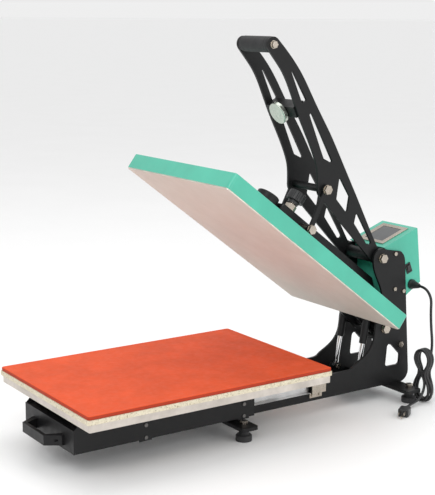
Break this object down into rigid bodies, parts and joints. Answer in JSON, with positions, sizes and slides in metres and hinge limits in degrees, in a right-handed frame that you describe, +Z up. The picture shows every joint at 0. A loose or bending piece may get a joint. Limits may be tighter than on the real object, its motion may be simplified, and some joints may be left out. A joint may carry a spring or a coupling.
{
  "type": "heat press",
  "caption": "Clamshell heat press with a slide-out lower platen, tilting heated platen, toggle lever, gas struts and control box.",
  "frame": {"origin": "on the floor, below the middle of the press", "axes": "+X to the right as the operator stands, +Y to the back, +Z up"},
  "size_m": [0.4053, 1.01, 0.8695],
  "materials": {
    "black_steel": "satin black powder coat",
    "green_sheet": "semi-gloss mint green powder coat",
    "zinc": "zinc plated",
    "black_oxide": "black oxide screws",
    "chrome_rod": "polished chrome",
    "slide_steel": "zinc plated slides",
    "tray_metal": "satin metal sheet",
    "board": "cream speckled board",
    "silicone": "orange-red silicone",
    "ptfe_face": "beige PTFE coated face",
    "element": "sheathed element",
    "blanket": "glass wool",
    "grip_foam": "black foam grip",
    "black_plastic": "black plastic",
    "screen_glass": "dark screen",
    "circuit": "circuit board",
    "rubber_foot": "black rubber",
    "cord_rubber": "black cord",
    "armature_steel": "plated steel disc"
  },
  "bodies": {
    "base": {"mast_plate_right": "black_steel", "mast_plate_left": "black_steel", "front_foot_bar": "black_steel", "rear_foot_bar": "black_steel", "base_cross_plates": "black_steel", "mast_tie_tube": "black_steel", "base_fasteners": "zinc", "main_pivot_bolts": "zinc", "slide_outer_members": "slide_steel", "slide_stop_brackets": "zinc", "control_box_shell": "green_sheet", "control_box_back_cover": "green_sheet", "panel_bezel": "zinc", "touch_screen": "screen_glass", "control_electronics": "circuit", "switch_housing": "black_plastic", "cable_gland": "black_plastic", "power_cord": "cord_rubber", "cord_hank": "cord_rubber", "cord_tie": "cord_rubber", "plug": "cord_rubber"},
    "foot_front_right": {"foot_front_right": "rubber_foot"},
    "foot_front_left": {"foot_front_left": "rubber_foot"},
    "foot_rear_right": {"foot_rear_right": "rubber_foot"},
    "foot_rear_left": {"foot_rear_left": "rubber_foot"},
    "switch": {"switch_rocker": "black_plastic"},
    "drawer": {"drawer_shell": "black_steel", "drawer_top_plate": "black_steel", "drawer_runners": "black_steel", "drawer_handle": "black_steel", "drawer_screws": "black_oxide", "slide_inner_members": "slide_steel", "lower_tray": "tray_metal", "pad_board": "board", "silicone_pad": "silicone"},
    "slide_middle": {"slide_middle_members": "slide_steel"},
    "upper_platen": {"platen_cover": "green_sheet", "heating_plate": "ptfe_face", "heating_element": "element", "insulation_blanket": "blanket", "pressure_beam": "black_steel", "toggle_cross_shaft": "zinc", "beam_pivot_tube": "black_steel", "electromagnet": "black_steel", "platen_fasteners": "zinc"},
    "pressure_knob": {"pressure_knob": "black_plastic", "pressure_stud": "zinc"},
    "lever": {"lever_plate_right": "black_steel", "lever_plate_left": "black_steel", "lever_grip": "grip_foam", "toggle_bolt": "zinc", "toggle_tube": "black_steel", "lever_hub_tube": "black_steel", "magnet_bracket": "black_steel", "armature_disc": "armature_steel", "lever_fasteners": "zinc"},
    "links": {"link_bars": "black_steel", "link_bolts": "zinc"},
    "strut_rods": {"strut_rods": "chrome_rod"},
    "strut_cylinders": {"strut_cylinders": "black_steel"}
  },
  "joints": [
    {"name": "platen_hinge", "type": "hinge", "parent": "base", "child": "upper_platen", "pos_m": [0, 0.389, 0.179], "axis": [1, 0, 0], "range_deg": [0, 36.9], "stiffness_Nm_per_rad": 86, "springref_deg": -59.99},
    {"name": "lever_hinge", "type": "hinge", "parent": "base", "child": "lever", "pos_m": [0, 0.374, 0.352], "axis": [1, 0, 0], "range_deg": [0, 63.2]},
    {"name": "link_hinge", "type": "hinge", "parent": "lever", "child": "links", "pos_m": [0, 0.203, 0.528], "axis": [1, 0, 0], "range_deg": [-109.5, 0]},
    {"name": "strut_rod_hinge", "type": "hinge", "parent": "base", "child": "strut_rods", "pos_m": [0, 0.33, 0.07], "axis": [1, 0, 0], "range_deg": [0, 14.5]},
    {"name": "strut_slide", "type": "slide", "parent": "strut_rods", "child": "strut_cylinders", "axis": [0, 0.1718, 0.9851], "range_m": [-0.035, 0]},
    {"name": "drawer_slide", "type": "slide", "parent": "base", "child": "drawer", "axis": [0, 1, 0], "range_m": [0, 0.191]},
    {"name": "slide_middle_travel", "type": "slide", "parent": "base", "child": "slide_middle", "axis": [0, 1, 0], "range_m": [0, 0.0956]},
    {"name": "pressure_knob_turn", "type": "hinge", "parent": "upper_platen", "child": "pressure_knob", "pos_m": [0, 0.16177, 0.50092], "axis": [0, 0.6004, 0.7997], "continuous": true},
    {"name": "power_switch", "type": "hinge", "parent": "base", "child": "switch", "pos_m": [0.0636, 0.463, 0.318], "axis": [0, 0.9272, 0.3746], "range_deg": [-20, 0]},
    {"name": "foot_front_right_turn", "type": "hinge", "parent": "base", "child": "foot_front_right", "pos_m": [0.109, -0.053, 0.01], "axis": [0, 0, 1], "continuous": true},
    {"name": "foot_front_left_turn", "type": "hinge", "parent": "base", "child": "foot_front_left", "pos_m": [-0.109, -0.053, 0.01], "axis": [0, 0, 1], "continuous": true},
    {"name": "foot_rear_right_turn", "type": "hinge", "parent": "base", "child": "foot_rear_right", "pos_m": [0.109, 0.436, 0.01], "axis": [0, 0, 1], "continuous": true},
    {"name": "foot_rear_left_turn", "type": "hinge", "parent": "base", "child": "foot_rear_left", "pos_m": [-0.109, 0.436, 0.01], "axis": [0, 0, 1], "continuous": true}
  ],
  "couplings": [
    {"joint": "lever_hinge", "follows": "platen_hinge", "ratio": 1.71},
    {"joint": "link_hinge", "follows": "platen_hinge", "ratio": -2.9539},
    {"joint": "strut_rod_hinge", "follows": "platen_hinge", "ratio": 0.38916},
    {"joint": "strut_slide", "follows": "platen_hinge", "m_per_rad": -0.053724},
    {"joint": "slide_middle_travel", "follows": "drawer_slide", "ratio": 0.5}
  ]
}
